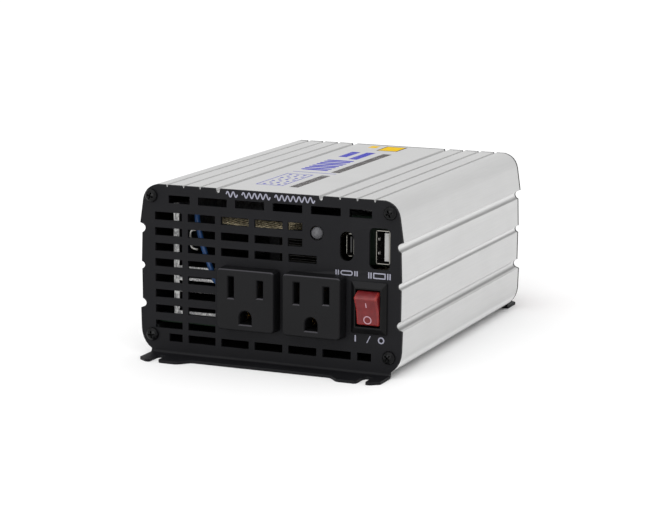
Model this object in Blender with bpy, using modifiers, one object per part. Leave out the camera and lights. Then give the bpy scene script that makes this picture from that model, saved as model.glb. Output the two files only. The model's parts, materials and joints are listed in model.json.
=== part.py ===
"""A small power inverter: an extruded aluminium case closed by two punched steel end panels.

The front panel carries two outlets, a rocker switch, a status light and two charging ports.
The rear panel carries the cooling fan and two screw terminals. The circuit lies inside.
Shapes are drawn in millimetres, x to the right, y from the front panel towards the rear and
z up from the surface it stands on. Each finished piece is scaled to metres and placed so that
the middle of the whole object's footprint is the origin.
"""

import math

import bmesh
import bpy
from mathutils import Matrix, Vector

NAME = "power_inverter"
MM = 0.001
FLAT_ANGLE = 0.05

# Overall size
LENGTH = 144.0
SHEET = 1.2
SEAM = 0.12
CASE_TOP = 70.35
CASE_BOTTOM = 2.3
FOOT_DEPTH = 12.9
FOOT_HALF = 52.3
BEND_RADIUS = 1.0
TERMINAL_END = 165.0
ORIGIN_Y = (TERMINAL_END - FOOT_DEPTH) / 2

# Case section
TOP_GROOVES = ((22.3, 2.4, 2.0), (30.3, 1.4, 1.15), (37.65, 1.4, 1.15), (45.0, 1.4, 1.15))
SIDE_GROOVES = (
    ((57.0, 54.3), (56.1, 50.2), 54.6),
    ((56.45, 38.4), (56.3, 35.3), 55.0),
    ((56.2, 23.1), (57.0, 19.1), 54.5),
)
BORE_TOP = 66.9
BORE_SIDE = 52.2
BORE_BOTTOM = 4.5
RAIL_X = 50.0
BOARD_LOW = 12.6
BOARD_THICK = 1.6
BOARD_TOP = BOARD_LOW + BOARD_THICK
PORT_X = 51.7
PORT_ROWS = (65.6, 8.5)

# Front panel
VENT_HEIGHT = 3.3
VENT_WIDTH = 12.2
VENT_COLUMN = 14.75
VENT_ROW = 6.365
VENT_FIRST_ROW = 57.55
VENT_TOP_ROW = 64.6
VENT_BOTTOM_ROW = 7.72
OUTLET_X = (-7.5, 20.95)
OUTLET_Z = 27.1
OUTLET_FACE = 6.0
OUTLET_NECK = 23.4
OUTLET_REAR = 17.0
BLADE_X = 6.35
BLADE_Z = 4.95
GROUND_Z = -6.95
SWITCH = (43.35, 27.65)
SWITCH_TILT = 17.0
LED = (20.8, 55.6)
PORT_C = (33.6, 51.3)
PORT_A = (47.4, 51.3)
PORT_FRONT = 3.6
PORT_REAR = 15.2

# Rear panel
FAN = (-21.0, 37.5)
FAN_SIZE = 50.0
FAN_FRONT = 127.1
FAN_REAR = 142.4
FAN_BORE = 23.6
FAN_SCREWS = 20.0
TERMINALS = (("positive", 41.5), ("negative", 20.5))
TERMINAL_Z = 37.5
WASHER_Y = 148.8
KNOB_Y = 150.3

MATERIALS = {
    "aluminium": ((0.62, 0.62, 0.63), 0.42, 1.0),
    "panel_black": ((0.022, 0.022, 0.024), 0.6, 0.0),
    "screw_black": ((0.02, 0.02, 0.02), 0.35, 0.8),
    "outlet_black": ((0.025, 0.025, 0.025), 0.5, 0.0),
    "switch_black": ((0.02, 0.02, 0.021), 0.45, 0.0),
    "rocker_red": ((0.5, 0.035, 0.03), 0.3, 0.0),
    "led_lens": ((0.5, 0.5, 0.52), 0.3, 0.0),
    "brass": ((0.62, 0.45, 0.18), 0.3, 1.0),
    "plated_steel": ((0.6, 0.6, 0.58), 0.28, 1.0),
    "port_white": ((0.75, 0.75, 0.72), 0.5, 0.0),
    "port_black": ((0.02, 0.02, 0.02), 0.5, 0.0),
    "board_green": ((0.02, 0.1, 0.04), 0.45, 0.0),
    "heatsink": ((0.7, 0.7, 0.7), 0.35, 1.0),
    "ferrite": ((0.04, 0.04, 0.045), 0.6, 0.0),
    "winding_tape": ((0.5, 0.36, 0.04), 0.5, 0.0),
    "copper_wire": ((0.5, 0.24, 0.08), 0.3, 1.0),
    "capacitor_sleeve": ((0.03, 0.03, 0.07), 0.4, 0.0),
    "epoxy": ((0.015, 0.015, 0.016), 0.5, 0.0),
    "fan_black": ((0.02, 0.02, 0.02), 0.5, 0.0),
    "terminal_red": ((0.5, 0.03, 0.025), 0.4, 0.0),
    "terminal_black": ((0.02, 0.02, 0.02), 0.4, 0.0),
    "wire_blue": ((0.03, 0.16, 0.42), 0.45, 0.0),
    "wire_red": ((0.5, 0.03, 0.03), 0.45, 0.0),
    "wire_black": ((0.02, 0.02, 0.02), 0.45, 0.0),
    "fuse_green": ((0.05, 0.4, 0.1), 0.3, 0.0),
}

PLANES = {
    "XY": Matrix.Identity(4),
    "XZ": Matrix(((1, 0, 0, 0), (0, 0, -1, 0), (0, 1, 0, 0), (0, 0, 0, 1))),
    "YZ": Matrix(((0, 0, 1, 0), (1, 0, 0, 0), (0, 1, 0, 0), (0, 0, 0, 1))),
}
NORMALS = {"XY": Vector((0, 0, 1)), "XZ": Vector((0, 1, 0)), "YZ": Vector((1, 0, 0))}


# Outlines, as lists of points


def arc(cx, cy, radius, start, end, steps):
    """Points on an arc from the start angle to the end angle, in degrees."""
    points = []
    for i in range(steps + 1):
        angle = math.radians(start + (end - start) * i / steps)
        points.append((cx + radius * math.cos(angle), cy + radius * math.sin(angle)))
    return points


def circle(cx, cy, radius, steps):
    return arc(cx, cy, radius, 0, 360 - 360 / steps, steps - 1)


def rounded(cx, cy, width, height, radius, steps=3):
    """A rectangle with rounded corners."""
    x, y = width / 2 - radius, height / 2 - radius
    points = []
    for i, (sx, sy) in enumerate(((1, 1), (-1, 1), (-1, -1), (1, -1))):
        points += arc(cx + sx * x, cy + sy * y, radius, 90 * i, 90 * i + 90, steps)
    return points


def rectangle(cx, cy, width, height):
    x, y = width / 2, height / 2
    return [(cx + x, cy + y), (cx - x, cy + y), (cx - x, cy - y), (cx + x, cy - y)]


def curve_through(start, pull, end, steps):
    """Points on the quadratic curve from start to end that leans towards pull."""
    points = []
    for i in range(steps + 1):
        t = i / steps
        weights = ((1 - t) ** 2, 2 * t * (1 - t), t * t)
        points.append(tuple(sum(w * p[k] for w, p in zip(weights, (start, pull, end))) for k in (0, 1)))
    return points


def ring_slot(cx, cy, inner, outer, start, end, steps=6):
    """A slot bent round a centre, between two radii and two angles."""
    return arc(cx, cy, outer, start, end, steps) + arc(cx, cy, inner, end, start, steps)


def mirrored(half):
    """A closed outline from its half at x >= 0."""
    return half + [(-x, y) for x, y in reversed(half) if x > 0]


# Pieces, in millimetres


def link(name, mesh):
    piece = bpy.data.objects.new(name, mesh)
    bpy.context.scene.collection.objects.link(piece)
    return piece


def from_bmesh(name, bm):
    """A new object from a bmesh, its flat areas merged and its faces turned outwards."""
    bmesh.ops.dissolve_limit(bm, angle_limit=math.radians(FLAT_ANGLE), verts=bm.verts, edges=bm.edges)
    bmesh.ops.recalc_face_normals(bm, faces=bm.faces)
    mesh = bpy.data.meshes.new(name)
    bm.to_mesh(mesh)
    bm.free()
    return link(name, mesh)


def evaluated_mesh(piece):
    bpy.context.view_layer.update()
    depsgraph = bpy.context.evaluated_depsgraph_get()
    return bpy.data.meshes.new_from_object(piece.evaluated_get(depsgraph))


def bake(piece):
    """Replace a mesh object's mesh by the result of its modifiers."""
    mesh = evaluated_mesh(piece)
    piece.modifiers.clear()
    piece.data = mesh
    return piece


def curve_to_mesh(name, piece, matrix):
    """Turn a filled curve object into a welded mesh object."""
    mesh = evaluated_mesh(piece)
    bpy.data.objects.remove(piece)
    bm = bmesh.new()
    bm.from_mesh(mesh)
    bpy.data.meshes.remove(mesh)
    bmesh.ops.remove_doubles(bm, verts=bm.verts, dist=0.001)
    bmesh.ops.transform(bm, matrix=matrix, verts=bm.verts)
    return from_bmesh(name, bm)


def prism(name, outlines, low, high, plane="XZ"):
    """A flat outline, with any holes as further outlines, given a thickness from low to high."""
    data = bpy.data.curves.new(name, "CURVE")
    data.dimensions = "2D"
    data.fill_mode = "BOTH"
    data.extrude = (high - low) / 2
    for outline in outlines:
        spline = data.splines.new("POLY")
        spline.points.add(len(outline) - 1)
        for point, (x, y) in zip(spline.points, outline):
            point.co = (x, y, 0, 1)
        spline.use_cyclic_u = True
    shift = Matrix.Translation(NORMALS[plane] * (low + high) / 2)
    return curve_to_mesh(name, link(name, data), shift @ PLANES[plane])


def box(name, x, y, z):
    """A box from (low, high) pairs."""
    bm = bmesh.new()
    bmesh.ops.create_cube(bm, size=1)
    size = [b - a for a, b in (x, y, z)]
    middle = [(a + b) / 2 for a, b in (x, y, z)]
    bmesh.ops.transform(bm, matrix=Matrix.Diagonal((*size, 1)), verts=bm.verts)
    bmesh.ops.translate(bm, vec=middle, verts=bm.verts)
    return from_bmesh(name, bm)


def turned(name, profile, x, z, steps, closed=False):
    """A profile of (radius, y) points turned about the line along y through x and z."""
    mesh = bpy.data.meshes.new(name)
    edges = [(i, i + 1) for i in range(len(profile) - 1)]
    if closed:
        edges.append((len(profile) - 1, 0))
    mesh.from_pydata([(radius, 0, y) for radius, y in profile], edges, [])
    piece = link(name, mesh)
    screw = piece.modifiers.new("turn", "SCREW")
    screw.steps = steps
    screw.render_steps = steps
    screw.use_merge_vertices = True
    screw.merge_threshold = 0.0001
    bake(piece)
    bm = bmesh.new()
    bm.from_mesh(piece.data)
    bmesh.ops.rotate(bm, cent=(0, 0, 0), matrix=Matrix.Rotation(-math.pi / 2, 3, "X"), verts=bm.verts)
    bmesh.ops.translate(bm, vec=(x, 0, z), verts=bm.verts)
    bpy.data.objects.remove(piece)
    return from_bmesh(name, bm)


def loft(name, sections):
    """A closed skin over sections of equal point counts, each a list of (x, y, z) points."""
    bm = bmesh.new()
    rings = [[bm.verts.new(point) for point in section] for section in sections]
    count = len(sections[0])
    for near, far in zip(rings, rings[1:]):
        for i in range(count):
            bm.faces.new((near[i], near[(i + 1) % count], far[(i + 1) % count], far[i]))
    bm.faces.new(rings[0])
    bm.faces.new(reversed(rings[-1]))
    return from_bmesh(name, bm)


def at_depth(outline, y):
    return [(x, y, z) for x, z in outline]


def merge_flat_areas(piece):
    bm = bmesh.new()
    bm.from_mesh(piece.data)
    bmesh.ops.dissolve_limit(bm, angle_limit=math.radians(FLAT_ANGLE), verts=bm.verts, edges=bm.edges)
    bm.to_mesh(piece.data)
    bm.free()


def combine(piece, others, operation):
    """Boolean a list of pieces into the first one, one after another."""
    for other in others:
        modifier = piece.modifiers.new("combine", "BOOLEAN")
        modifier.operation = operation
        modifier.solver = "EXACT"
        modifier.object = other
        bake(piece)
        bpy.data.objects.remove(other)
    merge_flat_areas(piece)
    return piece


def cut(piece, *cutters):
    return combine(piece, cutters, "DIFFERENCE")


def join(piece, *others):
    return combine(piece, others, "UNION")


def together(name, pieces):
    """Gather pieces that don't touch into one mesh, to cut or join in one go."""
    bm = bmesh.new()
    for piece in pieces:
        bm.from_mesh(piece.data)
        bpy.data.objects.remove(piece)
    return from_bmesh(name, bm)


def bevelled(piece, width, segments=1, angle=35.0):
    modifier = piece.modifiers.new("bevel", "BEVEL")
    modifier.width = width
    modifier.segments = segments
    modifier.limit_method = "ANGLE"
    modifier.angle_limit = math.radians(angle)
    return bake(piece)


def copied(name, piece, shift):
    twin = link(name, piece.data.copy())
    twin.data.transform(Matrix.Translation(shift))
    return twin


def turned_round(piece):
    """Mirror a piece from the front end of the case to the rear end."""
    bm = bmesh.new()
    bm.from_mesh(piece.data)
    for vertex in bm.verts:
        vertex.co.y = LENGTH - vertex.co.y
    name = piece.name
    bpy.data.objects.remove(piece)
    return from_bmesh(name, bm)


def wire(name, route, radius, count):
    """A round wire on one smooth curve through the route's points."""
    knots = [Vector(point) for point in route]
    padded = [2 * knots[0] - knots[1], *knots, 2 * knots[-1] - knots[-2]]
    data = bpy.data.curves.new(name, "CURVE")
    data.dimensions = "3D"
    data.bevel_depth = radius
    data.bevel_resolution = 2
    data.use_fill_caps = True
    spline = data.splines.new("POLY")
    spline.points.add(count - 1)
    for i, point in enumerate(spline.points):
        place = i * (len(knots) - 1) / (count - 1)
        k = min(int(place), len(knots) - 2)
        t = place - k
        a, b, c, d = padded[k : k + 4]
        blend = 2 * b + (c - a) * t + (2 * a - 5 * b + 4 * c - d) * t * t + (3 * b - a - 3 * c + d) * t**3
        point.co = (*(blend / 2), 1)
    return curve_to_mesh(name, link(name, data), Matrix.Identity(4))


# Finishing


def make_material(slot):
    colour, roughness, metallic = MATERIALS[slot]
    material = bpy.data.materials.get(slot) or bpy.data.materials.new(slot)
    material.use_nodes = True
    shader = material.node_tree.nodes["Principled BSDF"]
    shader.inputs["Base Color"].default_value = (*colour, 1)
    shader.inputs["Roughness"].default_value = roughness
    shader.inputs["Metallic"].default_value = metallic
    material.diffuse_color = (*colour, 1)
    return material


def finish(piece, slot, collection, pivot=None):
    """Scale a piece to metres, put its origin on its pivot, if it has one, and give it its material."""
    shift = Vector((0, -ORIGIN_Y, 0))
    origin = Vector(pivot) + shift if pivot else Vector((0, 0, 0))
    piece.data.transform(Matrix.Scale(MM, 4) @ Matrix.Translation(shift - origin))
    piece.location = origin * MM
    piece.data.name = piece.name
    piece.data.materials.clear()
    piece.data.materials.append(make_material(slot))
    piece.data.shade_smooth()
    piece.data.set_sharp_from_angle(angle=math.radians(35))
    bpy.context.scene.collection.objects.unlink(piece)
    collection.objects.link(piece)


# The case


def side_groove(upper, lower, floor_x, steps=7):
    """Points of a rounded channel in a side wall, between its two lips."""
    points = []
    for i in range(1, steps):
        t = i / steps
        lip = upper[0] + (lower[0] - upper[0]) * t
        depth = (lip - floor_x) * math.sin(math.pi * t) ** 0.6
        points.append((lip - depth, upper[1] + (lower[1] - upper[1]) * t))
    return points


def case_half():
    """The right half of the case's outer section, from the top centre down."""
    points = []
    for x, width, depth in TOP_GROOVES:
        for across, down in ((-0.5, 0), (-0.36, 0.7), (0, 1), (0.36, 0.7), (0.5, 0)):
            points.append((x + across * width, CASE_TOP - down * depth))
    points += curve_through((49.4, CASE_TOP), (54.6, 69.3), (55.6, 64.0), 6)
    for upper, lower, floor_x in SIDE_GROOVES:
        points += [upper, *side_groove(upper, lower, floor_x), lower]
    points += curve_through((56.75, 10.5), (56.4, 5.2), (52.1, CASE_BOTTOM), 5)
    return points


def make_extrusion():
    """The one-piece case, with screw ports in its corners and rails for the board."""
    slot_low, slot_high = BOARD_LOW - 0.2, BOARD_TOP + 0.2
    bore = [
        (46.6, BORE_TOP),
        (47.6, 64.3),
        (49.8, 62.3),
        (BORE_SIDE, 61.8),
        (BORE_SIDE, slot_high + 1.3),
        (RAIL_X, slot_high + 1.3),
        (RAIL_X, slot_high),
        (BORE_SIDE - 0.2, slot_high),
        (BORE_SIDE - 0.2, slot_low),
        (RAIL_X, slot_low),
        (49.2, 11.0),
        (47.4, 9.2),
        (46.6, BORE_BOTTOM),
    ]
    ports = [circle(sx * PORT_X, z, 1.45, 12) for sx in (-1, 1) for z in PORT_ROWS]
    outlines = [mirrored(case_half()), mirrored(bore), *ports]
    low = SHEET + SEAM
    return prism("enclosure_extrusion", outlines, low, LENGTH - low)


# The end panels


def foot_half():
    """The right half of the foot flange in plan, with an open screw slot in its ear."""
    middle, inner, outer = 8.2, 29.5, 35.6
    points = [(0, -middle)]
    for i in range(7):
        t = i / 6
        ease = t * t * (3 - 2 * t)
        points.append((inner + (outer - inner) * t, -middle - (FOOT_DEPTH - middle) * ease))
    points += [(42.2, -FOOT_DEPTH), (43.1, -12.0)]
    points += arc(45.0, -6.3, 1.9, 180, 0, 6)
    points += [(46.9, -12.4), (47.5, -FOOT_DEPTH), (48.7, -FOOT_DEPTH), (FOOT_HALF, -10.2)]
    points.append((FOOT_HALF, SHEET + 1))
    return points


def make_panel(name, holes):
    """A sheet end panel cut to the case's section, with its lower edge bent out into a foot."""
    half = [*case_half()[:-1], (FOOT_HALF, CASE_BOTTOM + 0.3)]
    ports = [circle(sx * PORT_X, z, 1.7, 10) for sx in (-1, 1) for z in PORT_ROWS]
    punches = [prism("punch", [hole], -1, SHEET + 1) for hole in (*ports, *holes)]
    panel = cut(prism(name, [mirrored(half)], 0, SHEET), together("punches", punches))
    bend = BEND_RADIUS + SHEET
    section = [(SHEET, bend + 1.2), (0, bend + 1.2)]
    section += arc(-BEND_RADIUS, bend, BEND_RADIUS, 0, -90, 4)
    section += [(-FOOT_DEPTH - 1, SHEET), (-FOOT_DEPTH - 1, 0)]
    section += arc(-BEND_RADIUS, bend, bend, -90, 0, 4)
    strip = prism("bend", [section], -FOOT_HALF - 2, FOOT_HALF + 2, "YZ")
    plan = prism("foot", [mirrored(foot_half())], -1, 10, "XY")
    combine(strip, [plan], "INTERSECT")
    return join(panel, strip)


def vent_rows():
    """The slots of the front panel: a top row, a block of eight rows at the left, a bottom row."""
    slots = []
    for side in (-1, 1):
        for step in (0.5, 1.5):
            slots.append(rectangle(side * step * 16.4, VENT_TOP_ROW, 12.8, VENT_HEIGHT))
        slots.append(rectangle(side * 39.35, VENT_TOP_ROW, 9.5, VENT_HEIGHT))
        slots.append(rectangle(side * 41.2, VENT_BOTTOM_ROW, 6.0, VENT_HEIGHT))
    for row in range(8):
        z = VENT_FIRST_ROW - VENT_ROW * row
        columns = (-3, -2, -1, 0) if row < 3 else (-3, -2)
        for column in columns:
            slots.append(rectangle(column * VENT_COLUMN, z, VENT_WIDTH, VENT_HEIGHT))
        if row < 2:
            slots.append(rectangle(11.5, z, 6.35, VENT_HEIGHT))
        if row == 2:
            slots.append(rectangle(VENT_COLUMN, z, VENT_WIDTH, VENT_HEIGHT))
    for column in range(-2, 3):
        slots.append(rectangle(column * VENT_COLUMN, VENT_BOTTOM_ROW, VENT_WIDTH, VENT_HEIGHT))
    return slots


def make_front_panel():
    holes = vent_rows()
    holes += [rounded(x, OUTLET_Z, 24.0, 24.0, 1.0, 2) for x in OUTLET_X]
    holes.append(rounded(*SWITCH, 13.4, 19.4, 0.5, 2))
    holes.append(circle(*LED, 2.95, 20))
    holes.append(rounded(*PORT_C, 5.9, 11.8, 2.94, 6))
    holes.append(rounded(*PORT_A, 8.7, 16.4, 2.0, 4))
    return make_panel("front_panel", holes)


def make_rear_panel():
    """The rear panel, with a round grille over the fan and a hole for each terminal."""
    holes = []
    for inner, outer in ((5.0, 8.0), (11.0, 14.0), (17.0, 20.6)):
        half_bar = math.degrees(1.6 / ((inner + outer) / 2))
        for quarter in range(4):
            start = 45 + 90 * quarter + half_bar
            holes.append(ring_slot(*FAN, inner, outer, start, start + 90 - 2 * half_bar))
    for sx in (-1, 1):
        for sz in (-1, 1):
            holes.append(circle(FAN[0] + sx * FAN_SCREWS, FAN[1] + sz * FAN_SCREWS, 1.7, 10))
    holes += [circle(x, TERMINAL_Z, 4.3, 18) for _, x in TERMINALS]
    return turned_round(make_panel("rear_panel", holes))


def make_screw(name, x, z, length, steps):
    """A pan-head screw with a cross recess, its head resting on the front panel."""
    head = 2.7
    seat = -SEAM
    profile = [
        (0, seat - 1.9),
        (1.5, seat - 1.75),
        (2.4, seat - 1.1),
        (head, seat - 0.2),
        (head - 0.1, seat),
        (1.15, seat),
        (1.15, seat + length - 0.8),
        (0, seat + length),
    ]
    screw = turned(name, list(reversed(profile)), x, z, steps)
    long_arm = rectangle(x, z, 3.0, 0.7)
    short_arm = rectangle(x, z, 0.7, 3.0)
    across = prism("across", [long_arm], seat - 3, seat - 0.75)
    upright = prism("upright", [short_arm], seat - 3, seat - 0.75)
    return cut(screw, across, upright)


def make_screws(parts):
    """Four screws at each end run into the case's screw ports, and four hold the fan."""
    first = make_screw("front_screw_upper_left", -PORT_X, PORT_ROWS[0], 11.0, 10)
    parts.append((first, "screw_black"))
    corners = (
        ("upper_right", 2 * PORT_X, 0),
        ("lower_left", 0, PORT_ROWS[1] - PORT_ROWS[0]),
        ("lower_right", 2 * PORT_X, PORT_ROWS[1] - PORT_ROWS[0]),
    )
    for corner, dx, dz in corners:
        parts.append((copied("front_screw_" + corner, first, (dx, 0, dz)), "screw_black"))
    for corner, dx, dz in (("upper_left", 0, 0), *corners):
        rear = turned_round(copied("rear_screw_" + corner, first, (dx, 0, dz)))
        parts.append((rear, "screw_black"))
    for i, (sx, sz) in enumerate(((-1, 1), (1, 1), (-1, -1), (1, -1))):
        spot = (FAN[0] + sx * FAN_SCREWS, FAN[1] + sz * FAN_SCREWS)
        screw = make_screw(f"fan_screw_{i + 1}", *spot, 9.0, 8)
        parts.append((turned_round(screw), "screw_black"))


# Outlets


def ground_outline(cx, cz, grow=0.0):
    """A hole with a flat bottom and a round top."""
    radius = 2.63 + grow
    flat = cz - 2.75 - grow
    return [(cx - radius, flat), (cx + radius, flat), *arc(cx, cz + 0.12, radius, 0, 180, 8)]


def slot_cutters(x):
    """The three plug holes of one outlet, each with a small funnel at the face."""
    face, throat, end = -OUTLET_FACE - 0.1, -OUTLET_FACE + 0.6, 1.6
    cutters = []
    for side, height in ((-1, 8.6), (1, 6.9)):
        cx = x + side * BLADE_X
        cz = OUTLET_Z + BLADE_Z
        wide = at_depth(rectangle(cx, cz, 3.5, height + 1.1), face)
        tight = rectangle(cx, cz, 2.4, height)
        cutters.append(loft("slot", [wide, at_depth(tight, throat), at_depth(tight, end)]))
    cz = OUTLET_Z + GROUND_Z
    tight = ground_outline(x, cz)
    wide = at_depth(ground_outline(x, cz, 0.5), face)
    cutters.append(loft("ground", [wide, at_depth(tight, throat), at_depth(tight, end)]))
    return together("slots", cutters)


def chamber_cutters(x):
    """The chambers behind the plug holes, open at the back for the contacts."""
    y = (1.4, OUTLET_REAR + 1)
    cutters = []
    for side in (-1, 1):
        cx = x + side * BLADE_X
        cutters.append(box("chamber", (cx - 3, cx + 3), y, (OUTLET_Z - 0.5, OUTLET_Z + 10.4)))
    cutters.append(box("chamber", (x - 4.2, x + 4.2), y, (OUTLET_Z - 10.8, OUTLET_Z - 3.1)))
    return together("chambers", cutters)


def make_outlet(name, x):
    """A square moulded outlet that stands proud of the panel, with three plug holes."""
    face, base = -OUTLET_FACE, -SEAM
    sections = (
        (face, 23.7, 1.2),
        (face + 0.2, 24.3, 1.4),
        (face + 0.7, 24.8, 1.5),
        (base, 25.3, 1.5),
        (base, OUTLET_NECK, 0.8),
        (OUTLET_REAR, OUTLET_NECK, 0.8),
    )
    rings = [at_depth(rounded(x, OUTLET_Z, size, size, radius), y) for y, size, radius in sections]
    return cut(loft(name, rings), chamber_cutters(x), slot_cutters(x))


def make_contact(name, side, leaf, z, strip_z, depth):
    """A folded strip with one clip for each outlet, the clips' leaves either side of the blade."""
    thick = 0.8
    clips = []
    for x in OUTLET_X:
        cx = x + side * BLADE_X
        outline = [
            (cx - leaf - thick, 3.0),
            (cx - leaf, 3.0),
            (cx - leaf, depth - thick),
            (cx + leaf, depth - thick),
            (cx + leaf, 3.0),
            (cx + leaf + thick, 3.0),
            (cx + leaf + thick, depth),
            (cx - leaf - thick, depth),
        ]
        clips.append(prism("clip", [outline], *z, "XY"))
    ends = [x + side * BLADE_X for x in OUTLET_X]
    strip = box(name, ends, (depth - thick, depth), strip_z)
    return join(strip, together("clips", clips))


def make_contacts(parts):
    low = OUTLET_Z
    neutral = make_contact("contact_neutral", -1, 1.35, (low + 4.6, low + 9.6), (low + 6.4, low + 9.2), 21.0)
    hot = make_contact("contact_hot", 1, 1.35, (low + 0.6, low + 9.0), (low + 0.9, low + 3.6), 18.4)
    ground = make_contact("contact_ground", 0, 2.85, (low - 9.5, low - 4.4), (low - 9.2, low - 6.0), 18.4)
    parts += [(neutral, "brass"), (hot, "brass"), (ground, "brass")]


# Switch, light and ports


def make_switch_housing():
    """The switch body, with a sloping bezel on the panel and a well for the rocker."""
    x, z = SWITCH
    sections = (
        (-2.0, 11.5, 16.2, 0.3),
        (-0.7, 15.0, 20.8, 0.3),
        (-SEAM, 15.0, 20.8, 0.3),
        (-SEAM, 12.8, 18.8, 0.3),
        (12.0, 12.8, 18.8, 0.3),
    )
    rings = [at_depth(rounded(x, z, width, height, r, 1), y) for y, width, height, r in sections]
    well = box("well", (x - 5.2, x + 5.2), (-3, 9.0), (z - 7.5, z + 7.5))
    pin = prism("pin", [circle(0, z, 1.55, 12)], x - 5.9, x + 5.9, "YZ")
    return cut(loft("switch_housing", rings), well, pin)


def make_rocker():
    """The rocker at rest with its lower half pressed in, turning on two short pins."""
    x, z = SWITCH
    radius, ridge, skirt = 6.9, 59, 105
    end = arc(0, 0, radius, 90 - ridge, 90 - skirt, 5)
    half = [(0, 2.8), *end, (3.0, -3.6)]
    outline = []
    turn = math.radians(SWITCH_TILT)
    for along, out in mirrored(half):
        up = along * math.cos(turn) - out * math.sin(turn)
        forward = out * math.cos(turn) + along * math.sin(turn)
        outline.append((-forward, z + up))
    rocker = prism("switch_rocker", [outline], x - 4.8, x + 4.8, "YZ")
    bevelled(rocker, 0.45, 1, 25)
    pins = prism("pins", [circle(0, z, 1.2, 12)], x - 5.6, x + 5.6, "YZ")
    return join(rocker, pins)


def make_spade(name, z):
    """A flat blade at the back of the switch, for a push-on connector."""
    x = SWITCH[0]
    return bevelled(box(name, (x - 2.4, x + 2.4), (12.2, 19.5), (z - 0.4, z + 0.4)), 0.25)


def make_led():
    """A 5 mm light with a round nose, held behind the panel by its flange."""
    nose = [(2.5 * math.sin(math.radians(a)), 1.1 - 2.5 * math.cos(math.radians(a))) for a in (0, 30, 60, 90)]
    profile = [*nose, (2.5, 5.6), (2.9, 5.6), (2.9, 6.6), (0, 6.6)]
    return turned("status_led", list(reversed(profile)), *LED, 16)


def make_port_shell(name, centre, width, height, radius, steps):
    """A folded steel sleeve, open at the front."""
    outer = rounded(*centre, width, height, radius, steps)
    wall = 0.35
    inner = rounded(*centre, width - 2 * wall, height - 2 * wall, radius - wall, steps)
    return prism(name, [outer, inner], PORT_FRONT, PORT_REAR)


def make_port_tongue(name, centre, well, tongue, shift):
    """The moulded insert: a block at the back of the sleeve and a tongue that reaches forward."""
    x, z = centre
    block = box(
        name,
        (x - well[0] / 2, x + well[0] / 2),
        (PORT_REAR - 3.6, PORT_REAR),
        (z - well[1] / 2, z + well[1] / 2),
    )
    reach = box(
        "reach",
        (x + shift - tongue[0] / 2, x + shift + tongue[0] / 2),
        (PORT_FRONT + 0.9, PORT_REAR - 1),
        (z - tongue[1] / 2, z + tongue[1] / 2),
    )
    return join(block, reach)


def make_ports(parts):
    shell_a = make_port_shell("usb_a_shell", PORT_A, 5.9, 13.4, 0.7, 2)
    shell_c = make_port_shell("usb_c_shell", PORT_C, 3.4, 9.2, 1.66, 4)
    tongue_a = make_port_tongue("usb_a_tongue", PORT_A, (4.8, 12.2), (1.9, 11.2), 1.2)
    tongue_c = make_port_tongue("usb_c_tongue", PORT_C, (1.9, 7.0), (0.8, 6.4), 0)
    board = box("usb_board", (29.6, 51.6), (PORT_REAR + 0.2, PORT_REAR + 1.8), (41.5, 61.0))
    parts += [(shell_a, "plated_steel"), (shell_c, "plated_steel")]
    parts += [(tongue_a, "port_white"), (tongue_c, "port_black"), (board, "board_green")]


# Fan and terminals


def make_fan_frame():
    """A square fan frame: three struts carry a seat and a bearing tube inside the bore."""
    corners = [(sx * FAN_SCREWS, sz * FAN_SCREWS) for sx in (-1, 1) for sz in (-1, 1)]
    holes = [circle(FAN[0] + dx, FAN[1] + dz, 2.1, 8) for dx, dz in corners]
    outer = rounded(*FAN, FAN_SIZE, FAN_SIZE, 3.0)
    bore = circle(*FAN, FAN_BORE, 30)
    frame = prism("fan_frame", [outer, bore, *holes], FAN_FRONT + 1.8, FAN_REAR)
    windows = [ring_slot(*FAN, 11.0, FAN_BORE, 120 * i + 8, 120 * i + 112, 8) for i in range(3)]
    shaft_hole = circle(*FAN, 1.4, 10)
    spider = prism("spider", [outer, shaft_hole, *windows, *holes], FAN_FRONT, FAN_FRONT + 2.0)
    tube = [(1.4, 137.0), (3.2, 137.0), (3.2, FAN_FRONT + 1.0), (1.4, FAN_FRONT + 1.0)]
    bearing = turned("bearing", tube, *FAN, 10, closed=True)
    return join(frame, spider, bearing)


def blade_sections(angle):
    """Stations of one fan blade, from inside the hub to the tip, pitched more steeply at the root."""
    sections = []
    for radius, chord, pitch, sweep in ((10.2, 7.5, 48, 0), (16.5, 9.5, 38, 8), (22.7, 10.5, 31, 14)):
        lean = math.radians(angle + sweep)
        outward = Vector((math.cos(lean), 0, math.sin(lean)))
        around = Vector((-math.sin(lean), 0, math.cos(lean)))
        along = around * math.cos(math.radians(pitch)) + Vector((0, 1, 0)) * math.sin(math.radians(pitch))
        face = along.cross(outward).normalized() * 0.5
        centre = Vector((FAN[0], 135.4, FAN[1])) + outward * radius
        corners = ((-1, -1), (1, -1), (1, 1), (-1, 1))
        sections.append([centre + along * (a * chord / 2) + face * b for a, b in corners])
    return sections


def make_fan_rotor():
    """A cup-shaped hub with seven blades and the shaft that runs in the bearing."""
    profile = [
        (0, 140.6),
        (9.8, 140.6),
        (11.0, 139.6),
        (11.0, 130.4),
        (9.9, 130.4),
        (9.9, 139.4),
        (1.0, 139.4),
        (1.0, FAN_FRONT + 0.4),
        (0, FAN_FRONT + 0.4),
    ]
    hub = turned("fan_rotor", profile, *FAN, 20)
    blades = together("blades", [loft("blade", blade_sections(360 * i / 7)) for i in range(7)])
    return join(hub, blades)


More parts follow.
